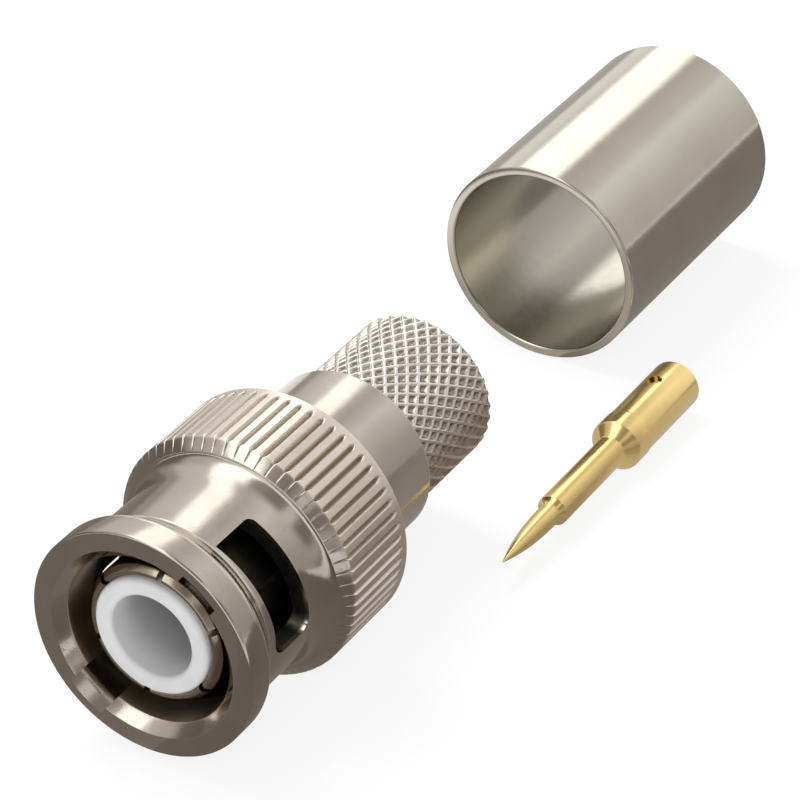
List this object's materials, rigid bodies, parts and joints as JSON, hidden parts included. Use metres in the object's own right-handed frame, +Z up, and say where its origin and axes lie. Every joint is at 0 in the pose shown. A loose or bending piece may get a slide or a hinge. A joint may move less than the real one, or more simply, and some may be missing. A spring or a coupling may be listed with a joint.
{
  "type": "bayonet coaxial crimp plug",
  "caption": "Bayonet-coupled coaxial plug with a knurled, spring-loaded coupling nut, shown with its loose crimp sleeve and gilt centre contact.",
  "frame": {"origin": "on the plug's axis, in the plane of the coupling nut's front face", "axes": "+X along the plug's axis from the mating mouth towards the cable, +Z up from the surface that the pieces lie on"},
  "size_m": [0.0614, 0.0176, 0.0144],
  "materials": {
    "nickel_plate": "bright nickel plate on turned brass",
    "nickel_satin": "satin nickel plate on drawn tube",
    "spring_steel": "bright spring steel",
    "black_rubber": "matt moulded rubber",
    "white_ptfe": "waxy turned PTFE",
    "gold_plate": "gold plate on turned brass"
  },
  "bodies": {
    "plug": {"plug_body": "nickel_plate", "outer_contact": "nickel_plate", "front_insulator": "white_ptfe", "rear_insulator": "white_ptfe", "gasket": "black_rubber", "wave_washer_front": "spring_steel", "wave_washer_rear": "spring_steel", "crimp_sleeve": "nickel_satin", "centre_contact": "gold_plate"},
    "float_washer": {"thrust_washer": "nickel_plate"},
    "nut": {"coupling_nut": "nickel_plate", "retaining_ring": "spring_steel"}
  },
  "joints": [
    {"name": "nut_float", "type": "slide", "parent": "plug", "child": "float_washer", "axis": [-1, 0, 0], "range_m": [0, 0.0007], "stiffness_N_per_m": 8000, "springref_m": -0.0002, "deforming": ["wave_washer_front", "wave_washer_rear"]},
    {"name": "nut_turn", "type": "hinge", "parent": "float_washer", "child": "nut", "pos_m": [0, 0, 0], "axis": [1, 0, 0], "continuous": true}
  ]
}
